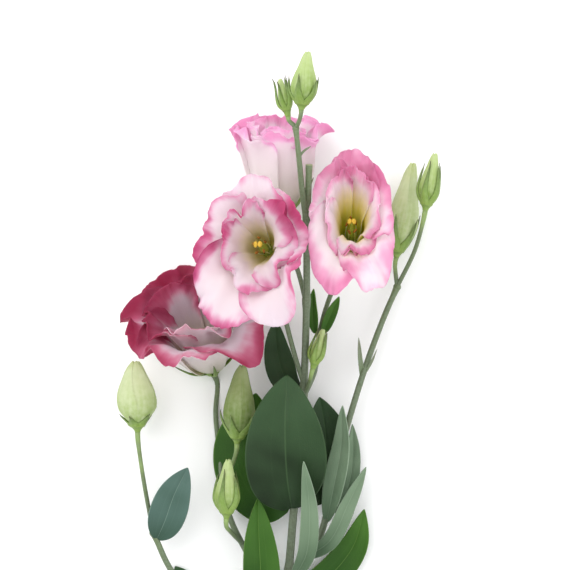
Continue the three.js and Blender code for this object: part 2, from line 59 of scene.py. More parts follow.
STEM_BASE_RADIUS = 2.5
STEM_TOP_RADIUS = 1.8
BRANCH_RADIUS = 1.7
PEDICEL_RADIUS = 1.3
BUD_STALK_RADIUS = 1.1
BUD_STALK_END = 1.45  # a bud's stalk widens into the calyx cup
NODE_SWELLING = 1.3
CALYX_DEPTH = 4.5
BUD_CUP = 2.6
BUD_POINT_RADIUS = 0.35
CUP_SHARE = 0.05  # of a bud's length, from its foot to the lip of its calyx cup
CUP_WALL = 0.4
CUP_TONE = 0.4  # a calyx cup keeps the fresh green of the lower part of its sepals
SEPAL_LENGTH = 19
SEPAL_STEPS = 24
SEPAL_KEEL = 0.8  # the ridge along the middle of an open bloom's sepal
FURL = 0.06  # of a bud's radius, the height of the steps where one furled petal laps the next
BUD_CLOSES = 0.96  # from this share of the way up, a bud's tip folds inwards

# ---- layout ----


def columns(names, rows):
    """A table as {row: {column: value}}."""
    return {row: dict(zip(names.split(), values)) for row, values in rows.items()}


STEM = [(31, -262, 2.3), (33, -225, 3.2), (35, -185, 6), (37, -148, 10), (40, -110, 15),
        (44.5, -55, 22), (46, -8, 31), (46, 31, 42)]
STUB = [(46, 31, 42), (46.8, 47, 47), (47.2, 61, 51)]

# Fresh says how new the wood is at the fork, 0 old and 1 new.
BRANCHES = columns("path radius fresh", {
    "crown": ([(46, 31, 42), (43.5, 50, 51), (42, 65, 57), (40.5, 79, 60)], 1.5, 0.6),
    "right": ([(37, -150, 10), (52, -132, 11), (62, -91, 13), (75, -47, 12), (86, -17, 9.5), (93, -1, 8.5)],
              BRANCH_RADIUS, 0.2),
    "middle": ([(36, -178, 7), (22, -150, 9), (8, -124, 11), (3, -108, 11)], BRANCH_RADIUS, 0.2),
    "left": ([(35, -195, 5), (8, -176, 7), (-22, -150, 10), (-33, -128, 13)], BRANCH_RADIUS, 0.15),
})


def whorl_row(*values, **more):
    """The figures that every whorl has, in this order, and those that only this one has."""
    return {**dict(zip("turn length width wall bowl flare opens wave".split(), values)), **more}


# Petals stand in two whorls round the axis of a bloom. Its droop is (direction in degrees, how much
# longer, wider open in degrees and lower down open the petals are there). Folds are waves of the
# opening angle round the bloom, as (how many, degrees, start): the ruffles deepen towards the rim.
BLOOMS = {
    "center": {
        "origin": (27, 17, 44), "axis": (-0.26, 0.16, 0.95), "squeeze": (0.80, 1.01), "phase": 0.6,
        "droop": (264, 0.38, 12, 0.12),
        "folds": [(2, 8, 0.5), (5, 15, 1.0), (7, 12, 2.2), (12, 8, 0.3)],
        "stalk": [(45, -52, 23), (40, -36, 26), (34, -12, 30)],
        "outer": whorl_row(18, 46, 27, 22, 0.12, 82, 0.44, 2.0),
        "inner": whorl_row(50, 39, 27, 18, 0.08, 62, 0.62, 1.8, lean=2.6, toward=330, stretch=0.2),
    },
    "right": {
        "origin": (68.5, 19.5, 28), "axis": (0.02, 0.58, 0.81), "squeeze": (0.62, 1.14), "phase": 1.9,
        "droop": (265, 0.36, 24, 0.26),
        "folds": [(2, 6, 2.0), (5, 12, 0.2), (8, 6, 5.0), (13, 7, 1.1)],
        "stalk": [(44.5, -58, 21.5), (50.5, -44, 19), (52.5, -26, 17), (59, -4, 15)],
        "outer": whorl_row(88, 46, 30, 23, 0.12, 82, 0.56, 2.0, lap=2.7),
        "inner": whorl_row(78, 40, 28, 21, 0.08, 52, 0.68, 1.4, lean=1.1, stretch=0.04, dye=0.5, lap=2.1),
    },
    "top": {
        "origin": (33, 39, 13.8), "axis": (-0.02, 0.96, 0.26), "squeeze": (1.0, 1.0), "phase": 5.0,
        "droop": (20, 0.0, 12, 0.0),
        "folds": [(2, 6, 0.0), (5, 14, 0.7), (9, 12, 1.9), (13, 6, 0.2)],
        "stalk": [(46, -10, 30), (42, 6, 22), (36, 22, 16)],
        "outer": whorl_row(60, 50, 26, 5, 0.22, 42, 0.62, 2.0),
        "inner": whorl_row(100, 47, 22, 2, 0.17, 22, 0.6, 1.8, count=4),
    },
    "left": {
        "origin": (-3, -43, 6), "axis": (-0.26, 0.74, 0.62), "squeeze": (1.06, 1.0), "phase": 4.1,
        "droop": (320, 0.16, 30, 0.18),
        "folds": [(2, 8, 1.0), (5, 16, 0.2), (8, 14, 2.6), (13, 8, 0.9)],
        "stalk": [(3, -108, 11), (1, -88, 4.5), (-1, -66, 2)],
        "outer": whorl_row(35, 54, 28, 16, 0.13, 76, 0.48, 2.2),
        "inner": whorl_row(71, 48, 23, 13, 0.09, 48, 0.52, 2.0),
    },
}

# The petals of a whorl grow outwards from a ring of radius foot at height rise. Over the share bowl of
# their length they turn up to the angle wall from the axis, and past the share opens they bend out to the
# angle flare. Each laps over the next and cups at its sides. Lean says how far the whorl follows the
# droop. Dye makes the dyed margin broader (above 1) or narrower, and a throat below 1 ends its colours
# lower down.
WHORLS = columns("count foot rise lap cup lean dye throat", {
    "outer": (5, 3.6, 1.4, 2.0, 0.8, 1.0, 1.0, 0.6),
    "inner": (5, 2.45, 3.6, 1.7, 0.5, 0.5, 0.9, 1.0),
})


# The belly of a bud sits lower the smaller its number. Sepal is the share of the bud that its sepals
# cover, and spread how far in mm their tips stand off.
BUDS = columns("foot tip radius belly stalk sepal spread tone", {
    "crown": ((43.5, 91, 65), (46.5, 117, 67), 6.4, 0.62, [(40.5, 79, 60)], 0.55, 2.0, "green"),
    "crown_side": ((36, 88, 57.5), (32.5, 104, 56), 3.0, 0.66, [(40.5, 79, 60), (38, 82.5, 59)], 1.02,
                   2.4, "green"),
    "right": ((93, 17, 10), (101, 62, 10.5), 7.9, 0.7, [(93, -1, 8.5)], 0.42, 1.6, "pale"),
    "right_side": ((107.5, 41, 24), (112, 67, 26), 5.2, 0.62, [(93, -1, 8.5), (102, 18, 15)], 0.85, 1.2,
                   "green"),
    "small": ((50, -40, 30.5), (54.5, -23, 33), 3.5, 0.62, [(44.5, -57, 22), (47.5, -50, 26.5)], 0.95,
              1.0, "green"),
    # the middle bud takes a darker skin than the others: painted shade
    "middle": ((10.5, -79, 22), (13, -42, 24), 8.4, 0.74, [(3, -108, 11), (6, -98, 16)], 0.36, 0.8,
               "olive"),
    "middle_side": ((5, -117, 26), (6, -90, 30), 6.2, 0.6, [(13.4, -134, 10.2), (7, -127, 18)], 0.8, 0.8,
                    "green"),
    "left": ((-41, -73, 18), (-42, -40, 20), 10.4, 0.8, [(-33, -128, 13), (-38, -100, 16)], 0.2, 0.3,
             "pale"),
})

# Face is the way that the upper side of a leaf looks. Fold lifts its margins, as a share of its half
# width, and wave makes them wavy, in mm.
LEAVES = columns("spine width face fold wave tone", {
    "front": ([(38.5, -115, 19), (36, -98, 31), (35, -72, 36), (36, -46, 35)], 41, (0.05, -0.1, 1), 0.12,
              1.2, "deep"),
    "behind": ([(38, -114, 13), (25, -107, 9), (16, -86, 8), (20, -56, 10)], 38, (-0.2, 0, 1), 0.1, 1.2,
               "fresh"),
    "behind_right": ([(42, -112, 13), (52, -100, 9), (56, -80, 8), (53, -58, 10)], 26, (0.2, 0, 1), 0.12,
                     1.0, "deep"),
    "upper": ([(42.5, -57, 19), (35, -48, 14), (31, -34, 11), (30, -18, 12)], 15, (-0.2, 0, 1), 0.2, 0.6,
              "deep"),
    "pair_left": ([(50.4, -25, 17.5), (49.4, -17, 21.5), (49.1, -10, 24), (49.6, -2, 25)], 5.5,
                  (-0.3, 0, 1), 0.25, 0.3, "fresh"),
    "pair_right": ([(54.8, -25, 17.5), (57.3, -18, 20), (60, -12, 21.5), (63, -6, 22)], 6, (0.3, 0, 1),
                   0.25, 0.3, "fresh"),
    "low_narrow": ([(39, -152, 12), (46, -138, 24), (47.5, -116, 33), (44.5, -90, 41)], 9.5, (0, 0, 1),
                   0.3, 0.5, "grey"),
    "branch_left": ([(56.5, -122, 13), (60, -104, 19), (64, -82, 22), (64.5, -62, 22)], 11, (-0.3, 0, 1),
                    0.25, 0.6, "grey"),
    "branch_right": ([(58.5, -118, 11), (67, -106, 9), (70, -90, 8), (70, -72, 9)], 9, (0.3, 0, 1), 0.2,
                     0.5, "grey"),
    "arching": ([(45, -141, 12), (58, -132, 17), (68, -112, 17), (77, -94, 12)], 9, (0.2, 0.1, 1), 0.3,
                0.6, "grey"),
    "curled": ([(37, -160, 10), (56, -152, 6), (70, -136, 6), (76, -116, 12)], 17, (0.1, 0, 1), 0.2, 1.4,
               "fresh"),
    "low": ([(33, -178, 8), (24, -158, 20), (22, -138, 22), (21, -110, 21)], 20, (0.3, 0, 1), 0.2, 1.0,
            "fresh"),
    "glaucous": ([(-31, -131, 14), (-27, -122, 19), (-22, -108, 22), (-15, -94, 22)], 19, (0.1, 0, 1),
                 0.15, 0.8, "glaucous"),
    "floor_left": ([(32.6, -188, 4.2), (16, -188, 1.8), (-5, -173, 1.3), (-22, -146, 1.4)], 30, (0, 0, 1),
                   0.05, 0.8, "deep"),
})

# Spine and width of each.
BRACTS = [
    ([(75, -47, 12), (73.8, -38, 14), (73, -27, 16)], 3.8),
    ([(75, -47, 12), (79, -41, 14), (82.5, -33, 17)], 2.0),
    ([(42, 65, 57), (45, 68, 59), (48, 70, 62)], 1.8),
    ([(46, 31, 42), (44.2, 40, 46), (43.6, 50, 48.5)], 2.6),
]

# ---- materials ----


def linear(code):
    """An sRGB hex colour as the linear colour that a shader takes."""
    channels = [int(code[i:i + 2], 16) / 255 for i in (1, 3, 5)]
    return [c / 12.92 if c <= 0.04045 else ((c + 0.055) / 1.055) ** 2.4 for c in channels] + [1.0]


def add(tree, kind, inputs=None, stops=None, **settings):
    """One node of a shader: its settings, what feeds each input (a value, a socket, or a node for its
    first output), and the stops of a colour ramp."""
    node = tree.nodes.new("ShaderNode" + kind)
    for name, value in settings.items():
        setattr(node, name, value)
    for name, value in (inputs or {}).items():
        if isinstance(value, bpy.types.Node):
            value = value.outputs[0]
        if isinstance(value, bpy.types.NodeSocket):
            tree.links.new(value, node.inputs[name])
        else:
            node.inputs[name].default_value = value
    if stops:
        marks = node.color_ramp.elements
        while len(marks) < len(stops):
            marks.new(0.5)
        for mark, (position, code) in zip(marks, sorted(stops)):
            mark.position = position
            mark.color = linear(code)
    return node


def surface(name, through=0.0, **values):
    """A material with a Principled shader. Through is the share of light a thin blade lets pass."""
    material = bpy.data.materials.new(name)
    material.use_nodes = True
    tree = material.node_tree
    shader = tree.nodes["Principled BSDF"]
    for socket, value in values.items():
        shader.inputs[socket.replace("_", " ")].default_value = value
    glow = None
    if through:
        glow = add(tree, "BsdfTranslucent")
        both = add(tree, "MixShader", {0: through, 1: shader, 2: glow})
        tree.links.new(both.outputs[0], tree.nodes["Material Output"].inputs["Surface"])
    return material, tree, shader, glow


def paint(tree, shader, glow, colour, relief):
    """Feeds the colour to the skin, and to the light that comes through it, and the relief to the skin."""
    tree.links.new(colour, shader.inputs["Base Color"])
    if glow:
        tree.links.new(colour, glow.inputs["Color"])
    tree.links.new(relief.outputs["Normal"], shader.inputs["Normal"])


DEEP_FLUSH = "#E294BC"  # deepens the dye in the darkest parts of a margin


def petal_face(name, foot, margin, reach_mm, pattern):
    """Thin living petal: satin, lets light through, white with a dyed margin that fades inwards in
    soft feathers and patches. Foot holds the ramp from the throat to the limb, margin that of the
    dyed edge; pattern picks where the margin is flushed deep and where it stays nearly white."""
    material, tree, shader, glow = surface(name, through=0.6, Roughness=0.6, Sheen_Weight=0.1,
                                           Specular_IOR_Level=0.3)
    along = add(tree, "Attribute", attribute_name="along").outputs["Fac"]
    edge = add(tree, "Attribute", attribute_name="edge_mm").outputs["Fac"]
    chart = add(tree, "UVMap", uv_map="blade")
    place = add(tree, "TexCoord").outputs["Object"]
    fine = add(tree, "Mapping", {"Vector": chart, "Scale": (58, 1.8, 1)})
    veins = add(tree, "TexNoise", {"Vector": fine, "Scale": 1.0, "Detail": 2.0})
    coarse = add(tree, "Mapping", {"Vector": chart, "Scale": (11, 1.4, 1)})
    flames = add(tree, "TexNoise", {"Vector": coarse, "Scale": 1.0, "Detail": 2.0})
    clouds = add(tree, "TexNoise", {"Vector": place, "Scale": 65.0, "Detail": 2.0})  # about 15 mm across
    feather = add(tree, "Math", {0: veins, 1: 2.2, 2: edge}, operation="MULTIPLY_ADD")
    licked = add(tree, "Math", {0: flames, 1: 4.5, 2: feather}, operation="MULTIPLY_ADD")
    uneven = add(tree, "Math", {0: clouds, 1: 24.0, 2: licked}, operation="MULTIPLY_ADD")
    flush = add(tree, "TexNoise", {"Vector": place, "W": pattern, "Scale": 26.0, "Detail": 1.0},
                noise_dimensions="4D")  # about 40 mm across
    drawn = add(tree, "Math", {0: flush, 1: -34.0, 2: uneven}, operation="MULTIPLY_ADD")
    inward = add(tree, "MapRange", {"Value": drawn, "From Min": -4.0, "From Max": -4.0 + reach_mm})
    dyed = add(tree, "ValToRGB", {0: inward}, stops=margin)
    cover = add(tree, "MapRange", {"Value": inward, "From Min": 0.35, "From Max": 1.0, "To Min": 1.0,
                                   "To Max": 0.0}, interpolation_type="SMOOTHSTEP")
    lift = add(tree, "Math", {0: flames, 1: 0.2, 2: along}, operation="MULTIPLY_ADD")
    lowered = add(tree, "Math", {0: lift, 1: 0.1}, operation="SUBTRACT")
    limb = add(tree, "ValToRGB", {0: lowered}, stops=foot)
    washed = add(tree, "Mix", {0: cover, 6: limb, 7: dyed}, data_type="RGBA").outputs[2]
    deep = add(tree, "MapRange", {"Value": flush, "From Min": 0.45, "From Max": 0.7, "To Max": 0.5})
    share = add(tree, "Math", {0: deep, 1: cover}, operation="MULTIPLY")
    colour = add(tree, "Mix", {0: share, 6: washed, 7: linear(DEEP_FLUSH)}, data_type="RGBA",
                 blend_type="MULTIPLY").outputs[2]
    relief = add(tree, "Bump", {"Height": veins, "Strength": 0.3, "Distance": 0.0005})
    paint(tree, shader, glow, colour, relief)
    return material


def green_skin(name, ramp, roughness=0.5, grain_mm=2.0, through=0.0, bloom="#AFC0AE",
               bloom_share=0.25):
    """Living green skin: a colour that changes from foot to tip, fine grain and a thin waxy bloom
    that greys it in lengthwise streaks."""
    material, tree, shader, glow = surface(name, through=through, Roughness=roughness)
    along = add(tree, "Attribute", attribute_name="along").outputs["Fac"]
    place = add(tree, "TexCoord").outputs["Object"]
    grain = add(tree, "TexNoise", {"Vector": place, "Scale": 1 / (grain_mm * MM), "Detail": 3.0})
    clouds = add(tree, "TexNoise", {"Vector": place, "Scale": 90.0, "Detail": 2.0})  # about 11 mm across
    uneven = add(tree, "Math", {0: clouds, 1: 0.35, 2: along}, operation="MULTIPLY_ADD")
    lowered = add(tree, "Math", {0: uneven, 1: 0.175}, operation="SUBTRACT")
    body = add(tree, "ValToRGB", {0: lowered}, stops=ramp)
    chart = add(tree, "UVMap", uv_map="blade")
    drawn_out = add(tree, "Mapping", {"Vector": chart, "Scale": (26, 1.6, 1)})
    streaks = add(tree, "TexNoise", {"Vector": drawn_out, "Scale": 1.0, "Detail": 2.0})
    thick = add(tree, "Math", {0: streaks, 1: 0.9, 2: grain}, operation="MULTIPLY_ADD")
    waxy = add(tree, "MapRange", {"Value": thick, "From Min": 0.75, "From Max": 1.25,
                                  "To Max": bloom_share})
    colour = add(tree, "Mix", {0: waxy, 6: body, 7: linear(bloom)}, data_type="RGBA").outputs[2]
    relief = add(tree, "Bump", {"Height": grain, "Strength": 0.2, "Distance": 0.0003})
    paint(tree, shader, glow, colour, relief)
    return material


# Black where the blade is plain: the pale midrib, two side veins to each half and the thin pale margin.
LEAF_RIBS = [(0.0, "#E8E8E8"), (0.03, "#303030"), (0.06, "#000000"), (0.33, "#000000"), (0.36, "#4A4A4A"),
             (0.39, "#000000"), (0.64, "#000000"), (0.66, "#343434"), (0.685, "#000000"),
             (0.965, "#000000"), (0.985, "#D8D8D8")]


def leaf_face(name, blade, wax_and_painted_sheen, vein, roughness, through):
    """Smooth leaf with a waxy bloom: pale midrib, fainter arching side veins and soft grey-blue clouds,
    partly the colour of the bloom and partly a painted highlight. They grow towards the tip, so the foot of
    the blade stays darker, as painted shade."""
    material, tree, shader, glow = surface(name, through=through, Roughness=roughness,
                                           Specular_IOR_Level=0.2)
    chart = add(tree, "UVMap", uv_map="blade")
    across = add(tree, "SeparateXYZ", {0: chart})
    centred = add(tree, "Math", {0: across, 1: 2.0, 2: -1.0}, operation="MULTIPLY_ADD")
    off_rib = add(tree, "Math", {0: centred}, operation="ABSOLUTE")
    ribs = add(tree, "ValToRGB", {0: off_rib}, stops=LEAF_RIBS)
    place = add(tree, "TexCoord").outputs["Object"]
    clouds = add(tree, "TexNoise", {"Vector": place, "Scale": 24.0, "Detail": 2.0,
                                    "Distortion": 0.3})  # about 40 mm across
    net = add(tree, "TexVoronoi", {"Vector": place, "Scale": 900.0},
              feature="DISTANCE_TO_EDGE")  # veins about a millimetre apart
    along = add(tree, "Attribute", attribute_name="along").outputs["Fac"]
    # painted highlight and shade: the lighter colour follows the clouds and grows towards the tip, so the
    # foot of each blade is painted darker
    wax_and_painted_sheen_amount = add(tree, "Math", {0: along, 1: 0.45, 2: clouds}, operation="MULTIPLY_ADD")
    patches = add(tree, "MapRange", {"Value": wax_and_painted_sheen_amount, "From Min": 0.45, "From Max": 1.1})
    body = add(tree, "Mix", {0: patches, 6: linear(blade), 7: linear(wax_and_painted_sheen)}, data_type="RGBA").outputs[2]
    veined = add(tree, "Math", {0: ribs, 1: 0.5}, operation="MULTIPLY")
    colour = add(tree, "Mix", {0: veined, 6: body, 7: linear(vein)}, data_type="RGBA").outputs[2]
    pressed = add(tree, "Math", {0: ribs, 1: -1.5, 2: net}, operation="MULTIPLY_ADD")
    relief = add(tree, "Bump", {"Height": pressed, "Strength": 0.35, "Distance": 0.0003})
    paint(tree, shader, glow, colour, relief)
    return material


def plain_grain(name, light, dark, roughness, scale_mm):
    """A matt, faintly uneven surface of one colour."""
    material, tree, shader, _ = surface(name, Roughness=roughness)
    place = add(tree, "TexCoord").outputs["Object"]
    grain = add(tree, "TexNoise", {"Vector": place, "Scale": 1 / (scale_mm * MM), "Detail": 2.0})
    colour = add(tree, "Mix", {0: grain, 6: linear(dark), 7: linear(light)}, data_type="RGBA").outputs[2]
    relief = add(tree, "Bump", {"Height": grain, "Strength": 0.5, "Distance": 0.0002})
    paint(tree, shader, None, colour, relief)
    return material


# The plain white back of a petal, and from the throat to the limb the colours of each bloom's inside: they
# make a throat glow yellow or green and leave the limb a cool white, except in the left bloom, whose limb
# is painted grey as painted shade.
OUTER_WALL = [(0.0, "#B2C478"), (0.16, "#DCE4BE"), (0.36, "#F5F3EA"), (0.6, "#FBF6F4"), (1.0, "#FAF2F5")]
THROATS = {
    "center": [(0.0, "#E8D468"), (0.12, "#F8E6A2"), (0.28, "#FCF2D0"), (0.48, "#FBF2E4"),
               (0.64, "#F5EBEB"), (1.0, "#EFE6EC")],
    "right": [(0.0, "#B6C228"), (0.22, "#DCD844"), (0.4, "#F2E878"), (0.56, "#F8EEB8"), (0.68, "#F9F0DC"),
              (0.8, "#F6ECEE"), (1.0, "#F5EAF0")],
    "top": [(0.0, "#C0C87C"), (0.2, "#E8E2C4"), (0.4, "#F8F2EC"), (0.6, "#FBF5F6"), (1.0, "#FAF1F7")],
    # the left bloom's limb is greyer than the others: painted shade
    "left": [(0.0, "#9DAA50"), (0.2, "#D0C8A0"), (0.4, "#DFD2CC"), (0.6, "#DDD0D6"), (1.0, "#DCCFD8")],
}
# The dye from the rim inwards, how far in mm it reaches inside and outside, and its pattern.
DYES = {
    "center": (["#DA6C9E", "#E594BA", "#EDC1D7", "#EDE2EA"], 13.0, 8.5, 6.0),
    "right": (["#ECA8CB", "#F3BED9", "#F8D4E6", "#FAECF2"], 16.0, 9.0, 10.0),
    "top": (["#F8CAE7", "#FAD8EE", "#FCE8F5", "#FBF3F8"], 14.0, 9.0, 10.0),
    # the left bloom's dye is deeper and its palest stop greyer: partly its own crimson, partly painted
    # shade
    "left": (["#BE4C72", "#CD6E8E", "#D994AC", "#E2CBD5"], 18.0, 10.0, 8.0),
}
# Each bloom's petals, outside and inside: soft as cloth, with no gloss, and bright where light comes
# through a fold.
PETAL_FACES = {
    name: (petal_face(f"petal_{name}_outside", OUTER_WALL, list(zip((0.0, 0.3, 0.6, 1.0), dye)), outside,
                      pattern),
           petal_face(f"petal_{name}_inside", THROATS[name], list(zip((0.0, 0.3, 0.65, 1.0), dye)), inside,
                      pattern))
    for name, (dye, inside, outside, pattern) in DYES.items()
}
# Fleshy green at the foot of the petals: a darker, moist-looking bottom of the throat.
RECEPTACLE = plain_grain("receptacle_green", "#8FA23A", "#6C8428", 0.5, 1.5)
# Smooth stalk under wax: dull grey-brown where it is old, clearer green towards the buds.
STEM_SKIN = green_skin("stem_skin", [(0.0, "#544F40"), (0.22, "#535D47"), (0.6, "#556346"),
                                     (0.85, "#5C6C42"), (1.0, "#80994C")],
                       grain_mm=1.2, bloom="#8FA086", bloom_share=0.3)
# A clean cut through wet pith: pale and matt against the skin.
CUT_PITH = plain_grain("cut_pith", "#A3AC84", "#6E7A56", 0.7, 0.6)
# Leathery sepals: yellow-green, dried brown at the very tips.
SEPAL_SKIN = green_skin("sepal_skin", [(0.0, "#809C40"), (0.25, "#76943C"), (0.6, "#627E34"),
                                       (0.85, "#546A2E"), (1.0, "#4A4628")],
                        grain_mm=1.5, through=0.12, bloom="#AFC080")
# Furled petals that haven't coloured yet: pale, soft and a little see-through, greener at the foot.
BUD_SKINS = {
    "pale": green_skin("furled_petal_pale", [(0.0, "#88A650"), (0.2, "#A8BD74"), (0.5, "#C2CF98"),
                                             (0.8, "#CDD7A8"), (1.0, "#BAC880")],
                       grain_mm=2.5, through=0.3, bloom="#DCE2C0", bloom_share=0.5),
    # The middle bud's skin is the green one darkened, because that bud lies in shade: painted shade.
    "olive": green_skin("furled_petal_olive", [(0.0, "#5C7829"), (0.3, "#70893C"), (0.7, "#8A9B5A"),
                                               (1.0, "#9DAC72")],
                        grain_mm=2.5, through=0.25, bloom="#A8B385", bloom_share=0.45),
    "green": green_skin("furled_petal_green", [(0.0, "#6F9036"), (0.3, "#8DAA4E"), (0.65, "#B4C97E"),
                                               (1.0, "#C6D696")],
                        grain_mm=2.5, through=0.3, bloom="#D2DEAE", bloom_share=0.4),
}
# Leaves under wax: broad old ones are dark with a blue-grey haze, partly wax and partly a painted
# highlight, young ones clear green and brighter against the light, glaucous and grey ones matt, with the
# wax hiding most of the green.
LEAF_FACES = {
    "deep": leaf_face("leaf_deep_waxy", "#0F2208", "#3B5836", "#4C6A42", 0.42, 0.08),
    "fresh": leaf_face("leaf_fresh_green", "#214A0C", "#4E7A2C", "#86AA58", 0.45, 0.22),
    "glaucous": leaf_face("leaf_glaucous_waxy", "#304B3B", "#66827B", "#94AE9E", 0.5, 0.1),
    "grey": leaf_face("leaf_grey_green_waxy", "#3A5539", "#82987C", "#B2C4AC", 0.5, 0.12),
}
# In the throat: a smooth, slightly shiny ovary, a velvety stigma, smooth pale filaments, and anthers
# made rough and dull by their pollen.
OVARY_SKIN = plain_grain("ovary_green", "#BAC256", "#9CB044", 0.4, 1.2)
STIGMA_SKIN = plain_grain("stigma_papillose_yellow", "#E6C84A", "#B98C26", 0.8, 0.4)
FILAMENT_SKIN = plain_grain("filament_pale", "#E4E3B4", "#C9CF8E", 0.5, 1.0)
ANTHER_SKIN = plain_grain("anther_pollen_dusted", "#C9801C", "#4E2F16", 0.85, 0.6)
# Bracts dry out on the plant: papery, dull and greyer than the stalk.
PAPER_BRACT = green_skin("bract_papery", [(0.0, "#6F855C"), (1.0, "#8F937C")], roughness=0.7,
                         grain_mm=1.0, through=0.2)

# ---- curves ----


def ease(x):
    x = min(1.0, max(0.0, x))
    return x * x * (3 - 2 * x)


def mixed(a, b, share):
    return a + (b - a) * share


def smooth_line(path, steps):
    """(point, direction) at even distances along the smooth curve through a path."""
    knots = [Vector(p) for p in path]
    knots = [2 * knots[0] - knots[1], *knots, 2 * knots[-1] - knots[-2]]
    fine = []
    for a, b, c, d in zip(knots, knots[1:], knots[2:], knots[3:]):
        times = [0.0]
        for start, end in ((a, b), (b, c), (c, d)):
            times.append(times[-1] + sqrt((end - start).length))
        for i in range(24):
            t = mixed(times[1], times[2], i / 24)
            low = [p.lerp(q, (t - s) / (e - s))
                   for p, q, s, e in ((a, b, times[0], times[1]), (b, c, times[1], times[2]),
                                      (c, d, times[2], times[3]))]
            middle = [low[0].lerp(low[1], (t - times[0]) / (times[2] - times[0])),
                      low[1].lerp(low[2], (t - times[1]) / (times[3] - times[1]))]
            fine.append(middle[0].lerp(middle[1], (t - times[1]) / (times[2] - times[1])))
    fine.append(knots[-2])
    reached = [0.0]
    for p, q in zip(fine, fine[1:]):
        reached.append(reached[-1] + (q - p).length)
    places = []
    k = 0
    for i in range(steps + 1):
        wanted = reached[-1] * i / steps
        while k < len(fine) - 2 and reached[k + 1] < wanted:
            k += 1
        places.append(fine[k].lerp(fine[k + 1], (wanted - reached[k]) / (reached[k + 1] - reached[k])))
    ahead = [(places[min(i + 1, steps)] - places[max(i - 1, 0)]).normalized() for i in range(steps + 1)]
    return list(zip(places, ahead))


def frame_along(origin, axis):
    """A frame whose z runs along axis and whose x stays as close as it can to the part's own x."""
    z = Vector(axis).normalized()
    x = (Vector((1, 0, 0)) - z * z.x).normalized()
    turned = Matrix((x, z.cross(x), z)).transposed().to_4x4()
    return Matrix.Translation(Vector(origin)) @ turned


def polar(radius, psi, z):
    """The point at that radius, direction and height."""
    return Vector((radius * cos(psi), radius * sin(psi), z))


# ---- mesh helpers ----


def new_sheet(bm, across, along):
    """A flat grid in bm as {vertex: (s, v)}, s from -1 to 1 across it and v from 0 to 1 along it."""
    made = ops.create_grid(bm, x_segments=across, y_segments=along, size=1.0)["verts"]
    return {vert: (round(vert.co.x, 5), round((vert.co.y + 1) / 2, 5)) for vert in made}


def layers(bm):
    """The layers that the materials read: how far along a piece, how far from its edge, its chart."""
    along = bm.verts.layers.float.get("along") or bm.verts.layers.float.new("along")
    edge = bm.verts.layers.float.get("edge_mm") or bm.verts.layers.float.new("edge_mm")
    chart = bm.loops.layers.uv.get("blade") or bm.loops.layers.uv.new("blade")
    return along, edge, chart


def chart_sheet(chart, sheet, shift=0.0):
    """Writes a sheet's own (s, v) into the chart, shifted so that no two blades look the same."""
    for face in {face for vert in sheet for face in vert.link_faces}:
        for loop in face.loops:
            s, v = sheet[loop.vert]
            loop[chart].uv = ((s + 1) / 2 + shift, v)


def spread(bm, across, steps, place, tone=(0.0, 1.0)):
    """A new sheet in bm with each of its points (s, v) put where place(s, v) says. Tone is what the skin
    reads as the share of the way along, at its foot and at its tip."""
    along, _, chart = layers(bm)
    sheet = new_sheet(bm, across, steps)
    chart_sheet(chart, sheet)
    for vert, (s, v) in sheet.items():
        vert.co = place(s, v)
        vert[along] = mixed(*tone, v)
    return list(sheet)


def above_table(point):
    """The point, lifted if it is below what lies flat on the table."""
    point.z = max(point.z, TABLE_CLEARANCE)
    return point


def tube(bm, path, radius_at, sides=14, spacing=2.5, ridges=0.04, fresh=(0.55, 0.8)):
    """A stalk: a sheet rolled round a path, with faint lengthwise ridges and open ends. Fresh says how
    its colour runs from foot to tip, 0 for old wood and 1 for new growth."""
    length = sum((Vector(q) - Vector(p)).length for p, q in zip(path, path[1:]))
    steps = max(4, round(length / spacing))
    line = smooth_line(path, steps)
    normals = [line[0][1].orthogonal().normalized()]
    for (_, before), (_, after) in zip(line, line[1:]):
        normals.append(before.rotation_difference(after) @ normals[-1])

    def rolled(s, v):
        row = round(v * steps)
        centre, ahead = line[row]
        angle = pi * s
        reach = radius_at(v, centre) * (1 + ridges * cos(4 * angle))
        side = ahead.cross(normals[row])
        return centre + (normals[row] * cos(angle) + side * sin(angle)) * reach

    ops.remove_doubles(bm, verts=spread(bm, sides, steps, rolled, tone=fresh), dist=SEAM)


def close_ends(bm):
    """Caps the open ends of the tubes. Returns the caps."""
    rims = [edge for edge in bm.edges if edge.is_boundary]
    return ops.holes_fill(bm, edges=rims, sides=64)["faces"]


def turned(bm, profile, place, sides=24):
    """A profile of (radius, height) spun round the axis of place. Nothing else is in bm."""
    along, _, _ = layers(bm)
    verts = [bm.verts.new((radius, 0, height)) for radius, height in profile]
    edges = [bm.edges.new(pair) for pair in zip(verts, verts[1:])]
    low, high = profile[0][1], profile[-1][1]
    for vert, (_, height) in zip(verts, profile):
        vert[along] = CUP_TONE * (height - low) / (high - low)
    ops.spin(bm, geom=verts + edges, cent=(0, 0, 0), axis=(0, 0, 1), angle=TURN, steps=sides,
                   use_merge=True)
    ops.remove_doubles(bm, verts=bm.verts, dist=SEAM)
    ops.transform(bm, matrix=place, verts=bm.verts)


def placed(name, data):
    """A new object in the scene."""
    thing = bpy.data.objects.new(name, data)
    bpy.context.scene.collection.objects.link(thing)
    return thing


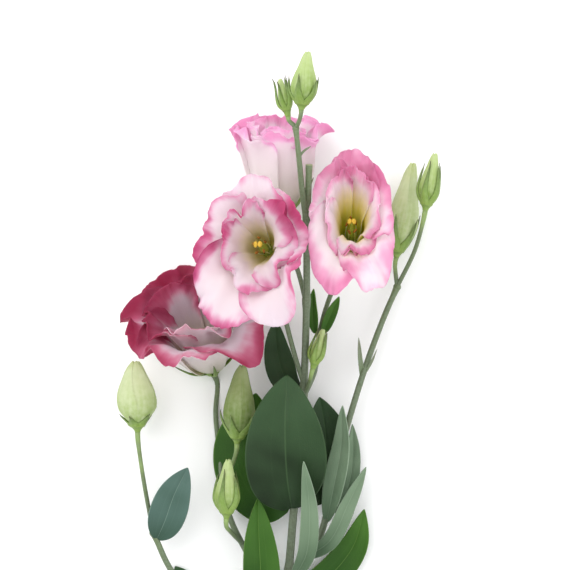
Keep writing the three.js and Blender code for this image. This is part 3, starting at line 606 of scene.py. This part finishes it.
def finished(name, bm, nodes, materials, thickness=0.0, flat=()):
    """Makes the piece from its mesh, in metres in the part's frame, and hides the parts of the model that
    it stands for. One with a thickness is a thin blade, the others are closed."""
    ops.remove_doubles(bm, verts=bm.verts, dist=SEAM / 10)  # a pointed blade ends in one vertex
    if not thickness:
        ops.recalc_face_normals(bm, faces=bm.faces)
    flat = set(flat)
    for face in bm.faces:
        face.smooth = face not in flat
    for vert in bm.verts:
        vert.co.z = max(vert.co.z, thickness / 2)
    ops.translate(bm, verts=bm.verts, vec=-ORIGIN)
    ops.scale(bm, verts=bm.verts, vec=(MM, MM, MM))
    mesh = bpy.data.meshes.new(name)
    bm.to_mesh(mesh)
    bm.free()
    piece = placed(name, mesh)
    for material in materials:
        mesh.materials.append(material)
    if thickness:
        wall = piece.modifiers.new("thickness", "SOLIDIFY")
        wall.thickness = thickness * MM
        wall.offset = 0.0
        wall.material_offset = 1 if len(materials) > 1 else 0
    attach(piece, "root")
    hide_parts(*nodes)


# ---- blooms ----

PROFILE_STEPS = 44
FOOT_ANGLE = 70  # degrees from the axis at which a petal leaves its foot
PETAL_ACROSS = 56
PETAL_ALONG = 50
PETAL_FOOT = 3  # half width of a petal at its foot
PETAL_SHIFT = 1.37  # from one petal of a bloom to the next, so that no two look the same
WIDEST_ANGLE = 1.1  # radians to each side that a petal takes up at most
HEM_MM = 8  # the frills die out this far in from the margin
# Waves as (how many, how strong, start): ripples of the wall, and frills round the margin of a petal.
RIPPLES = [(3, 1.0, 1.0), (5, 0.8, 2.3), (8, 0.55, 4.1)]
FRILLS = [(11, 1.0, 3.1), (19, 0.7, 5.3), (33, 0.6, 1.7), (57, 0.3, 1.0)]


def wall_profile(bloom, whorl, psi):
    """The wall of a whorl where it faces direction psi: radius, height and slope, foot to rim."""
    toward, longer, wider, lower = bloom["droop"]
    lean = whorl["lean"] * cos(psi - radians(whorl.get("toward", toward)))
    leaning = min(1.0, max(0.0, lean))
    length = whorl["length"] * (1 + whorl.get("stretch", longer) * leaning ** 0.6)
    folds = sum(size * sin(count * psi + start) for count, size, start in bloom["folds"])
    flare = whorl["flare"] + wider * lean + folds
    opens = whorl["opens"] - lower * leaning
    rows = []
    radius, height = whorl["foot"], whorl["rise"]
    for i in range(PROFILE_STEPS + 1):
        v = i / PROFILE_STEPS
        base = (FOOT_ANGLE - whorl["wall"]) * exp(-v / whorl["bowl"])
        rim = (flare - whorl["wall"]) * ease((v - opens) / (1 - opens))
        slope = radians(whorl["wall"] + base + rim)
        rows.append((radius, height, slope))
        radius += sin(slope) * length / PROFILE_STEPS
        height += cos(slope) * length / PROFILE_STEPS
    return rows


def along_profile(rows, v):
    """The row of a wall profile at v, 0 at the foot and 1 at the rim."""
    place = min(1.0, max(0.0, v)) * PROFILE_STEPS
    row = min(PROFILE_STEPS - 1, int(place))
    return [mixed(a, b, place - row) for a, b in zip(rows[row], rows[row + 1])]


def squeezed(bloom, point):
    """The bloom is round at its foot and takes its squeezed outline further up."""
    share = ease((point.z - 5) / 14)
    point.x *= 1 + (bloom["squeeze"][0] - 1) * share
    point.y *= 1 + (bloom["squeeze"][1] - 1) * share
    return point


def whorl_of(bloom, tier):
    """The figures of a bloom's outer or inner whorl over those that all such whorls start from."""
    return {**WHORLS[tier], **bloom[tier]}


def wall_all_round(bloom, whorl):
    """The wall of a whorl at every second degree, and a function that reads it at any direction."""
    rows = [wall_profile(bloom, whorl, radians(2 * i)) for i in range(181)]

    def wall(psi, v):
        place = degrees(psi) % 360 / 2
        near = int(place)
        sides = (along_profile(rows[near], v), along_profile(rows[near + 1], v))
        return [mixed(a, b, place - near) for a, b in zip(*sides)]

    return wall


def petal(bm, bloom, whorl, wall, k, place, shift):
    """One ruffled petal. All petals of a whorl lie in one folded wall, each tilted so that one edge is
    outside its neighbour; finer ruffles of its own run round its margin."""
    along, edge_mm, chart = layers(bm)
    theta = radians(whorl["turn"] + 360 / whorl["count"] * k)
    phase = bloom["phase"]
    cup = whorl["cup"] * (1 + 1.6 * sin(2.3 * k + phase))
    sheet = new_sheet(bm, PETAL_ACROSS, PETAL_ALONG)
    chart_sheet(chart, sheet, shift)
    for vert, (s, v) in sheet.items():
        # the rim is rounded off and a little nibbled
        nibble = noise.noise(Vector((s * 3.0, shift * 7.1, phase))) * 0.035
        nibble += noise.noise(Vector((s * 13.0, shift * 3.3, 4.0))) * 0.014
        full = 1 - 0.09 * s * s - 0.09 * s ** 6 + nibble
        reach = v * full
        half = PETAL_FOOT + (whorl["width"] - PETAL_FOOT) * sin(min(1.0, reach / 0.8) * pi / 2) ** 0.9
        # where the wall is narrow a petal goes further round it, so its direction is found in steps
        psi = theta
        radius, height, slope = wall(psi, reach)
        for _ in range(2):
            psi = theta + s * half / max(radius, half / WIDEST_ANGLE)
            radius, height, slope = wall(psi, reach)
        rim = ease((reach - 0.35) / 0.65)
        ripple = sum(size * sin(count * psi + start * phase) for count, size, start in RIPPLES)
        # frills follow the margin, and only where the petal has opened
        to_side = (1 - abs(s)) * half
        to_top = (full - reach) * whorl["length"]
        limb = ease((reach - 0.8 * whorl["opens"]) / 0.3)
        inward = min(to_side + 14 * (1 - limb), to_top)
        hem = max(0.0, 1 - inward / HEM_MM) ** 1.6 * limb
        round_edge = atan2(s, 2.2 * (reach - 0.45))
        frill = sum(size * sin(count * round_edge + start * shift) for count, size, start in FRILLS)
        patch = noise.noise(Vector((s * 1.3 + shift * 2.9, v * 1.2, phase + 8)))
        crease = noise.noise(Vector((s * 3.2 + shift * 5.7, v * 2.2, phase))) * 1.8 * rim
        offset = (whorl["lap"] * s * (0.5 + 0.5 * ease(reach / 0.2)) + cup * s * s * rim
                  + 0.6 * whorl["wave"] * rim * rim * ripple
                  + (0.9 + patch) * hem * frill + crease)
        point = polar(radius + offset * cos(slope), psi, height - offset * sin(slope))
        vert.co = above_table(place @ squeezed(bloom, point))
        vert[along] = reach ** whorl["throat"]
        vert[edge_mm] = inward / whorl["dye"]


def bloom_petals(name, bloom, place):
    """Both whorls of a bloom, which start from the same foot, as one piece."""
    bm = bmesh.new()
    shift = 0.0
    for tier in ("outer", "inner"):
        whorl = whorl_of(bloom, tier)
        wall = wall_all_round(bloom, whorl)
        for k in range(whorl["count"]):
            petal(bm, bloom, whorl, wall, k, place, shift)
            shift += PETAL_SHIFT
    finished(f"petals_{name}", bm, [f"corolla_{name}"], PETAL_FACES[name],
             thickness=PETAL_THICKNESS)


def receptacle(name, place):
    """The green foot that the petals grow from, seen at the bottom of the throat."""
    bm = bmesh.new()
    profile = [(0, 0.2), (3.6, 0.3), (4.3, 0.9), (4.4, 1.9), (3.8, 3.4), (3.0, 4.8), (1.8, 5.4), (0, 5.5)]
    turned(bm, profile, place)
    finished(f"receptacle_{name}", bm, [f"corolla_{name}"], [RECEPTACLE])


def keeled_blade(bm, line, outward, half_width):
    """A narrow sepal: folded along its middle, the keel turned outwards."""
    steps = len(line) - 1

    def folded(s, v):
        row = round(v * steps)
        ahead = (line[min(row + 1, steps)] - line[max(row - 1, 0)]).normalized()
        side = ahead.cross(outward[row]).normalized()
        rise = SEPAL_KEEL * (1 - abs(s)) * (1 - 0.6 * v) * ease((1 - v) * 5)
        return above_table(line[row] + side * (s * half_width(v)) + outward[row] * rise)

    spread(bm, 8, steps, folded)


def bloom_sepals(name, bloom, place):
    """The green cup under the petals and five long keeled sepals that lie against them."""
    turn = place.to_3x3()
    bm = bmesh.new()
    whorl = whorl_of(bloom, "outer")
    wall = wall_all_round(bloom, whorl)
    for k in range(FIVEFOLD):
        theta = radians(whorl["turn"] + 180 / FIVEFOLD * (2 * k + 1))
        line, outward = [], []
        for i in range(SEPAL_STEPS + 1):
            t = i / SEPAL_STEPS
            radius, height, slope = wall(theta, t * SEPAL_LENGTH / whorl["length"])
            offset = 2.0 + 0.5 * ease(t * 2) + 1.6 * t * t
            point = polar(radius + offset * cos(slope), theta, height - offset * sin(slope))
            line.append(place @ squeezed(bloom, point))
            outward.append(turn @ polar(cos(slope), theta, -sin(slope)))
        keeled_blade(bm, line, outward, lambda v: 1.5 * (1 - v) ** 0.7 + 0.2 * (1 - v) ** 0.5)
    finished(f"sepals_{name}", bm, [f"calyx_{name}"], [SEPAL_SKIN],
             thickness=SEPAL_THICKNESS)
    bm = bmesh.new()
    profile = [(0, -4.5), (1.5, -4.5), (2.2, -4.0), (3.6, -2.8), (4.6, -1.4), (5.0, 0.2), (4.9, 1.4),
               (4.4, 1.5), (4.2, 0.2), (0, -0.1)]
    turned(bm, profile, place)
    finished(f"calyx_cup_{name}", bm, [f"calyx_{name}"], [SEPAL_SKIN])


def bloom_pistil(name, place):
    """A long green ovary, a short style and a stigma of two broad velvety lobes."""
    bm = bmesh.new()
    profile = [(0, 5.5), (1.1, 5.6), (1.7, 7.0), (2.1, 9.0), (2.2, 11.5), (2.0, 13.5), (1.4, 15.6),
               (0.95, 17.5), (0.8, 19.5), (0.9, 20.8), (0, 21.2)]
    turned(bm, profile, place)
    finished(f"ovary_{name}", bm, [f"pistil_{name}"], [OVARY_SKIN])
    bm = bmesh.new()
    for side in (-1, 1):
        lobe = Matrix.Translation((side * 1.15, 0, 22.0)) @ Matrix.Rotation(side * 0.5, 4, "Y")
        lobe = lobe @ Matrix.Diagonal((1.25, 1.7, 0.95, 1))
        made = ops.create_uvsphere(bm, u_segments=20, v_segments=12, radius=1.0, matrix=lobe)
        for vert in made["verts"]:
            vert.co += vert.co.normalized() * 0.12 * noise.noise(vert.co * 3.0)
            vert.co = place @ vert.co
    finished(f"stigma_{name}", bm, [f"pistil_{name}"], [STIGMA_SKIN])


def bloom_stamens(name, bloom, place):
    """Five thin filaments round the ovary, each with a long anther hung on its tip."""
    stalks, heads = bmesh.new(), bmesh.new()
    for k in range(FIVEFOLD):
        psi = TURN * (k + 0.35) / FIVEFOLD
        path = [place @ squeezed(bloom, polar(radius, psi, height))
                for radius, height in ((2.3, 5.4), (3.1, 9), (3.6, 13), (3.9, 17))]
        tube(stalks, path, lambda v, _: 0.36 - 0.1 * v, sides=8, spacing=1.0, ridges=0.0)
        tip = place @ squeezed(bloom, polar(4.0, psi, 18.4))
        leaning = Vector(tip - path[-1]).to_track_quat("Z", "X").to_matrix().to_4x4()
        head = Matrix.Translation(tip) @ leaning @ Matrix.Rotation(0.9 * sin(3.0 * k), 4, "X")
        made = ops.create_uvsphere(heads, u_segments=16, v_segments=12, radius=1.0,
                                         matrix=head @ Matrix.Diagonal((0.75, 0.6, 1.9, 1)))
        for vert in made["verts"]:
            vert.co += 0.12 * noise.noise_vector(vert.co * 1.7)
    close_ends(stalks)
    finished(f"filaments_{name}", stalks, [f"stamens_{name}"], [FILAMENT_SKIN])
    finished(f"anthers_{name}", heads, [f"stamens_{name}"], [ANTHER_SKIN])


# ---- buds ----


def bud_side(bud, v):
    """The outline of a closed bud: drawn in at its foot, full round its belly, with a blunt tip."""
    full = sin(pi * min(1.0, v ** bud["belly"] * 0.97 + 0.03)) ** 0.8 * (1 - 0.12 * v)
    full *= mixed(0.74, 1.0, ease(v / 0.3))
    return bud["radius"] * (full + 0.13 * ease((v - 0.7) / 0.3)) + BUD_POINT_RADIUS


def bud_frame(bud):
    """The frame at a bud's foot, with z towards its tip, and its length."""
    axis = Vector(bud["tip"]) - Vector(bud["foot"])
    return frame_along(bud["foot"], axis), axis.length


def bud_petals(name, bud):
    """Five petals furled round each other: each edge stands a little proud of the next petal, and the
    furl ends in a blunt, slightly ragged tip."""
    place, length = bud_frame(bud)

    def furled(s, v):
        around = pi * s
        twist = 3.2 * v + 0.4 * sin(4 * v + bud["radius"])
        furl = ((5 * around + twist + 0.5 * sin(2 * around + bud["radius"])) / TURN) % 1.0
        step = furl ** 5 - 0.3 * sin(pi * furl)
        waver = 0.03 * sin(2 * around + 5 * v + bud["radius"])
        side = bud_side(bud, min(1.0, v / BUD_CLOSES))
        radius = side * (1 + FURL * step * (1 + 2 * ease((v - 0.6) / 0.4)) * ease(v * 3) + waver)
        closing = ease((v - BUD_CLOSES) / (1 - BUD_CLOSES))
        ragged = 0.03 * sin(pi * furl) * ease((v - 0.8) / 0.16) * (1 - closing)
        if v in (0.0, 1.0):
            radius = 0.0
        height = 0.3 + (min(1.0, v / BUD_CLOSES) + ragged) * (length - 0.3) - 1.2 * closing
        return place @ polar(radius * (1 - closing), around, height)

    bm = bmesh.new()
    spread(bm, 120, 72, furled)
    finished(f"furled_petals_{name}", bm, [f"bud_{name}"], [BUD_SKINS[bud["tone"]]])


def bud_cover(bud, length, height):
    """The outside of a bud's calyx at a height above its foot: a funnel from the stalk up to the lip,
    and above that close to the side of the bud."""
    lip = CUP_SHARE * length
    side = bud_side(bud, max(height, lip) / length) + CUP_WALL
    if height > lip:
        return side
    return mixed(BUD_STALK_END + 0.05, side, ease((height + BUD_CUP) / (lip + BUD_CUP)))


def bud_sepals(name, bud):
    """Five sepals, broad and pressed to the bud at their foot, with thin keeled tips that stand off."""
    place, length = bud_frame(bud)
    bm = bmesh.new()
    for k in range(FIVEFOLD):
        psi = TURN * k / FIVEFOLD + 0.5
        reach = bud["sepal"] * (1 + 0.08 * sin(2.6 * k + bud["radius"]))

        def pressed_on(s, t):
            height = t * reach * length
            cover = bud_cover(bud, length, min(height, 0.95 * length))
            half = bud["radius"] * 0.6 * (1 - t) ** 1.5 * (0.95 - 0.2 * t) + 0.26 * (1 - t) ** 0.5
            half = min(half, 0.66 * cover)  # neighbours just meet round the foot
            grown = ease(t * 6) * ease((1 - t) * 5)
            keel = 0.7 * (1 - abs(s)) ** 1.5 * grown * (1 - 0.5 * t)
            off = cover + 0.1 + bud["spread"] * t ** 3 + keel - 0.4 * abs(s) ** 3 * grown
            return place @ polar(off, psi + s * half / cover, height)

        spread(bm, 12, 30, pressed_on)
    finished(f"sepals_bud_{name}", bm, [f"bud_{name}_calyx"], [SEPAL_SKIN],
             thickness=SEPAL_THICKNESS)
    bm = bmesh.new()
    lip = CUP_SHARE * length
    heights = [mixed(-BUD_CUP, lip, i / 10) for i in range(11)]
    profile = [(0, -BUD_CUP), *[(bud_cover(bud, length, height), height) for height in heights]]
    profile += [(bud_cover(bud, length, lip) - 0.3, lip + 0.15), (bud_side(bud, lip / length) - 0.5, lip)]
    turned(bm, [*profile, (0.3, 0.1), (0, 0.1)], place)
    finished(f"calyx_cup_bud_{name}", bm, [f"bud_{name}_calyx"], [SEPAL_SKIN])


# ---- leaves ----


def leaf_shape(v):
    """The width of a leaf along its length: broadest below the middle, with a drawn-out point."""
    return max(0.02, (v + 0.015) ** 0.6 * (1 - v) ** 0.8 / 0.385)


def leaf_blade(bm, leaf, across, steps, shift=0.0, shape=leaf_shape):
    """A blade along its spine, folded up a little from a sunken midrib, with waved margins."""
    line = smooth_line(leaf["spine"], steps)
    up = Vector(leaf["face"]).normalized()

    def waved(s, v):
        centre, ahead = line[round(v * steps)]
        side = ahead.cross(up).normalized()
        half = leaf["width"] / 2 * shape(v)
        lift = leaf["fold"] * abs(s) ** 1.5 * half
        lift += leaf["wave"] * s * s * sin(pi * v) * sin(
            TURN * (1.3 * v + 0.25 * copysign(1, s)))
        lift -= 0.35 * exp(-(s * half / 0.9) ** 2)  # the sunken midrib
        lift += 0.5 * noise.noise(Vector((s * 1.6 + shift, v * 2.5, shift))) * min(1.0, half / 8)
        return above_table(centre + side * (s * half) + side.cross(ahead) * lift)

    spread(bm, across, steps, waved)


def leaves():
    for i, (name, leaf) in enumerate(LEAVES.items()):
        bm = bmesh.new()
        across = 36 if leaf["width"] > 14 else 20
        leaf_blade(bm, leaf, across, 64, shift=2.3 * i)
        tone = leaf["tone"]
        finished(f"blade_{name}", bm, [f"leaf_{name}"], [LEAF_FACES[tone]],
                 thickness=LEAF_THICKNESS)


# ---- stem ----


def path_to(path, foot, axis, depth, straight):
    """A stalk's path goes on to a flower's foot, meeting it straight along the flower's axis."""
    ahead = Vector(axis).normalized()
    end = Vector(foot) - ahead * (depth - 0.2)
    return [*path, end - ahead * straight, end]


def swollen(knots, reach_mm=3.5):
    """How much the stem swells at a point near one of its nodes."""
    places = [Vector(knot) for knot in knots]
    return lambda point: 1 + (NODE_SWELLING - 1) * max(
        exp(-((point - place).length / reach_mm) ** 2) for place in places)


def knuckle(bm, place, radius, fresh):
    """A rounded node that the stalks of a fork grow out of."""
    along, _, _ = layers(bm)
    made = ops.create_uvsphere(bm, u_segments=20, v_segments=14, radius=radius,
                                     matrix=Matrix.Translation(Vector(place)))
    for vert in made["verts"]:
        vert[along] = fresh


def stem():
    """Main stem, stub, branches and all stalks: tubes that run into each other, as they grew."""
    bm = bmesh.new()
    knots = swollen(STEM[3:])
    tube(bm, STEM, lambda v, p: mixed(STEM_BASE_RADIUS, STEM_TOP_RADIUS, v) * knots(p), sides=20,
         fresh=(0.0, 0.6))
    tube(bm, STUB, lambda v, p: STEM_TOP_RADIUS * (1 - 0.06 * v + 0.12 * ease((v - 0.85) / 0.1)) * knots(p),
         sides=18, fresh=(0.6, 0.8))
    for branch in BRANCHES.values():
        ends = swollen([branch["path"][-1]], 2.8)
        base = branch["radius"]
        tube(bm, branch["path"], lambda v, p: base * mixed(1.1, 0.9, v) * ends(p) * knots(p),
             sides=16, fresh=(branch["fresh"], 0.75))
        knuckle(bm, branch["path"][-1], base * 1.22, 0.75)
    knuckle(bm, STEM[-1], STEM_TOP_RADIUS * 1.34, 0.6)
    for bloom in BLOOMS.values():
        path = path_to(bloom["stalk"], bloom["origin"], bloom["axis"], CALYX_DEPTH, 7)
        tube(bm, path, lambda v, _: PEDICEL_RADIUS + 0.35 * ease((v - 0.85) / 0.15), sides=14)
    for bud in BUDS.values():
        axis = Vector(bud["tip"]) - Vector(bud["foot"])
        path = path_to(bud["stalk"], bud["foot"], axis, BUD_CUP, 4)
        tube(bm, path, lambda v, _: mixed(BUD_STALK_RADIUS * mixed(1.1, 1.0, v), BUD_STALK_END,
                                          ease((v - 0.75) / 0.25)), sides=12, fresh=(0.6, 1.0))
        knuckle(bm, bud["stalk"][0], BUD_STALK_RADIUS * 1.3, 0.6)
    caps = close_ends(bm)
    for cap in caps:
        cap.material_index = 1
    finished("stem_and_stalks", bm, ["stem"], [STEM_SKIN, CUT_PITH], flat=caps)


def bract_shape(v):
    return (1 - v) ** 0.8 * (0.7 + 0.6 * v)


def bracts():
    bm = bmesh.new()
    for i, (spine, width) in enumerate(BRACTS):
        bract = {"spine": spine, "width": width, "face": (0.1, 0, 1), "fold": 0.35, "wave": 0.2}
        leaf_blade(bm, bract, 8, 24, shift=3.1 * i, shape=bract_shape)
    finished("bracts_at_forks", bm, ["stem"], [PAPER_BRACT], thickness=0.3)


# ---- the piece ----

stem()
bracts()
leaves()
for name, bloom in BLOOMS.items():
    place = frame_along(bloom["origin"], bloom["axis"])
    bloom_petals(name, bloom, place)
    receptacle(name, place)
    bloom_sepals(name, bloom, place)
    bloom_pistil(name, place)
    bloom_stamens(name, bloom, place)
for name, bud in BUDS.items():
    bud_petals(name, bud)
    bud_sepals(name, bud)

# ---- table, light and camera ----

TABLE_HALF = 3.0  # metres, so that its rim is out of sight
SENSOR = 36.0
FRAME_WIDTH = 0.296  # the picture takes in this much at the height of the blooms
FRAME_CENTRE = ((35 - ORIGIN.x) * MM, (0 - ORIGIN.y) * MM)
CAMERA_HEIGHT = 2.2
LIT_SPOT = (0.0, 0.05, 0.0)  # the softboxes face this point, among the blooms


def table():
    """A matt white top, like card, that takes the soft shadow of the stem and gives no shine."""
    bm = bmesh.new()
    ops.create_grid(bm, x_segments=1, y_segments=1, size=TABLE_HALF)
    mesh = bpy.data.meshes.new("table_top")
    bm.to_mesh(mesh)
    bm.free()
    top = placed("table_top", mesh)
    material, _, shader, _ = surface("table_white_matt", Roughness=0.9)
    shader.inputs["Base Color"].default_value = linear("#FBFBFA")
    mesh.materials.append(material)


def softbox(name, place, aim, size, watts):
    """A large square lamp that faces aim."""
    lamp = bpy.data.lights.new(name, "AREA")
    lamp.size = size
    lamp.energy = watts
    holder = placed(name, lamp)
    holder.location = place
    holder.rotation_mode = "QUATERNION"
    holder.rotation_quaternion = (Vector(aim) - Vector(place)).to_track_quat("-Z", "Y")


def camera(aim, width, distance):
    """Straight above the piece with the cut end towards the bottom of the picture."""
    lens = bpy.data.cameras.new("camera")
    lens.sensor_width = SENSOR
    lens.lens = SENSOR * distance / width
    lens.clip_start, lens.clip_end = 0.05, 20.0
    holder = placed("camera", lens)
    holder.location = (*aim, distance)
    bpy.context.scene.camera = holder


table()
world = bpy.data.worlds.new("studio")
world.use_nodes = True
sky = world.node_tree.nodes["Background"].inputs
sky["Color"].default_value = linear("#FCFDFF")
sky["Strength"].default_value = 1.18
bpy.context.scene.world = world
softbox("softbox_high_left", (-0.8, 0.9, 1.5), LIT_SPOT, 1.6, 18.0)
softbox("softbox_right", (1.1, -0.2, 1.2), LIT_SPOT, 1.4, 5.0)
camera(FRAME_CENTRE, FRAME_WIDTH, CAMERA_HEIGHT)
bpy.context.scene.view_settings.view_transform = "Standard"
